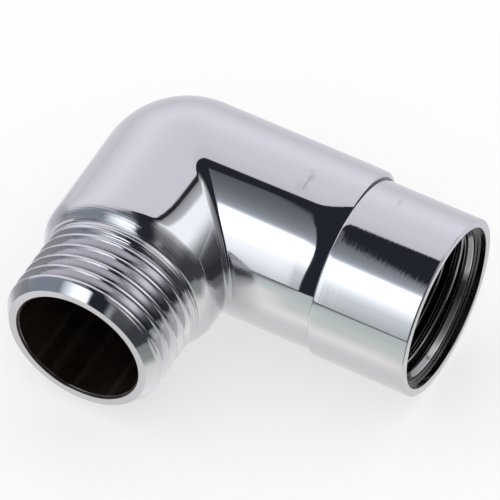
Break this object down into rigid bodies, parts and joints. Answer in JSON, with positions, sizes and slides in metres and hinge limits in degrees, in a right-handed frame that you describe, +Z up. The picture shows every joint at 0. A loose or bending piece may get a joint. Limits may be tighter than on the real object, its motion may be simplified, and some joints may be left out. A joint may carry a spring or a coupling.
{
  "type": "shower hose elbow adapter",
  "caption": "Right-angled chromed brass elbow with a female pipe-thread socket on one arm and a male pipe-thread spigot on the other, joining a shower hose to a water outlet.",
  "frame": {"origin": "on the socket's axis where the full female thread begins, 1.8 mm inside the socket's rim", "axes": "+X along the socket's axis and out of its mouth, -Y along the spigot's axis and out of its end, +Z up with the elbow lying on its side"},
  "size_m": [0.048, 0.0397, 0.0238],
  "materials": {
    "polished_chrome": "polished chrome plate over brass, unplated and darker inside the bores"
  },
  "bodies": {
    "root": {"elbow_body": "polished_chrome"}
  },
  "joints": []
}
